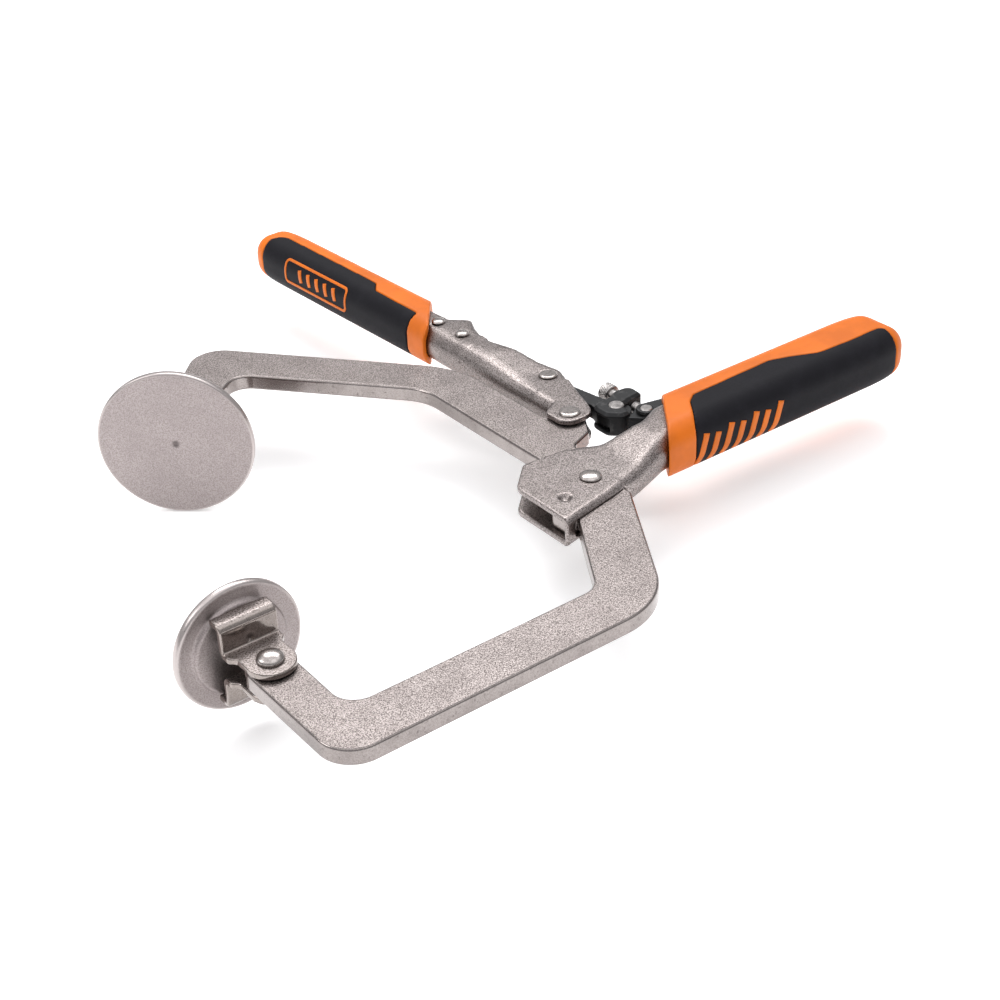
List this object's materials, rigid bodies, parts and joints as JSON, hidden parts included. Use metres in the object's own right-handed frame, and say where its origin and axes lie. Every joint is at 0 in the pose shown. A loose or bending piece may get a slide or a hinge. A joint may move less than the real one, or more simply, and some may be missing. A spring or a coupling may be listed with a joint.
{
  "type": "locking pliers",
  "caption": "Locking face clamp: two wide C-shaped plate arms with round swivel pads, folded-steel handles with two-colour grips and a sliding toggle lock.",
  "frame": {"origin": "centre of the fixed pad's clamping face", "axes": "+Y out of the fixed pad's face towards the moving pad; +X back along the fixed arm to the handles; +Z along every linkage pivot, with z = 0 the clamp's mid-plane"},
  "size_m": [0.3452, 0.3466, 0.062],
  "materials": {
    "hammered_nickel": "nickel plate over hammered-texture steel, satin",
    "polished_nickel": "bright nickel plate",
    "black_oxide": "black oxide, oiled",
    "bright_steel": "bare turned steel",
    "orange_plastic": "semi-gloss moulded plastic",
    "soft_black": "soft over-moulded elastomer, matte"
  },
  "bodies": {
    "main_body": {"main_channel": "hammered_nickel", "fixed_arm": "hammered_nickel", "main_pivot_rivet": "polished_nickel", "main_grip_core": "orange_plastic", "main_grip_panel": "soft_black"},
    "moving_jaw": {"moving_arm": "hammered_nickel"},
    "moving_handle": {"handle_channel": "hammered_nickel", "handle_pivot_rivet": "polished_nickel", "link_rivet": "polished_nickel", "handle_rivets": "polished_nickel", "handle_grip_core": "orange_plastic", "handle_grip_panel": "soft_black"},
    "toggle": {"toggle_link": "black_oxide"},
    "lock_slider": {"lock_block": "black_oxide", "block_pin": "bright_steel", "lock_bar": "black_oxide", "bar_pin": "bright_steel", "bar_roller_pin": "bright_steel", "bar_roller": "bright_steel", "bar_leaf_spring": "bright_steel", "leaf_rivet": "bright_steel"},
    "thumb_screw": {"pressure_screw": "bright_steel", "screw_knob": "bright_steel", "screw_foot": "bright_steel"},
    "fixed_pad": {"fixed_pad_disc": "hammered_nickel", "fixed_upper_bracket": "hammered_nickel", "fixed_lower_bracket": "hammered_nickel", "fixed_pad_rivet": "polished_nickel"},
    "moving_pad": {"moving_pad_disc": "hammered_nickel", "moving_upper_bracket": "hammered_nickel", "moving_lower_bracket": "hammered_nickel", "moving_pad_rivet": "polished_nickel"}
  },
  "joints": [
    {"name": "jaw_swing", "type": "hinge", "parent": "main_body", "child": "moving_jaw", "pos_m": [0.1497, -0.0031, 0], "axis": [0, 0, 1], "range_deg": [0, 48.01]},
    {"name": "handle_squeeze", "type": "hinge", "parent": "moving_jaw", "child": "moving_handle", "pos_m": [0.175, 0.04, 0], "axis": [0, 0, 1], "range_deg": [-135, 0]},
    {"name": "link_swing", "type": "hinge", "parent": "moving_handle", "child": "toggle", "pos_m": [0.1883, 0.0701, 0], "axis": [0, 0, 1], "range_deg": [0, 151.52]},
    {"name": "slider_swing", "type": "hinge", "parent": "toggle", "child": "lock_slider", "pos_m": [0.1937, 0.034, 0], "axis": [0, 0, 1], "range_deg": [-56.01, 0]},
    {"name": "screw_spin", "type": "hinge", "parent": "lock_slider", "child": "thumb_screw", "pos_m": [0.204, 0.04, 0], "axis": [0, -1, 0], "range_deg": [-180, 180]},
    {"name": "fixed_pad_swivel", "type": "hinge", "parent": "main_body", "child": "fixed_pad", "pos_m": [0, -0.0234, 0], "axis": [0, 0, 1], "range_deg": [-15, 15]},
    {"name": "moving_pad_swivel", "type": "hinge", "parent": "moving_jaw", "child": "moving_pad", "pos_m": [0.0649, 0.1484, 0], "axis": [0, 0, 1], "range_deg": [-20, 14]}
  ],
  "couplings": [
    {"joint": "jaw_swing", "follows": "handle_squeeze", "ratio": -0.35556},
    {"joint": "link_swing", "follows": "handle_squeeze", "ratio": -1.1222},
    {"joint": "slider_swing", "follows": "handle_squeeze", "ratio": 0.41481}
  ]
}
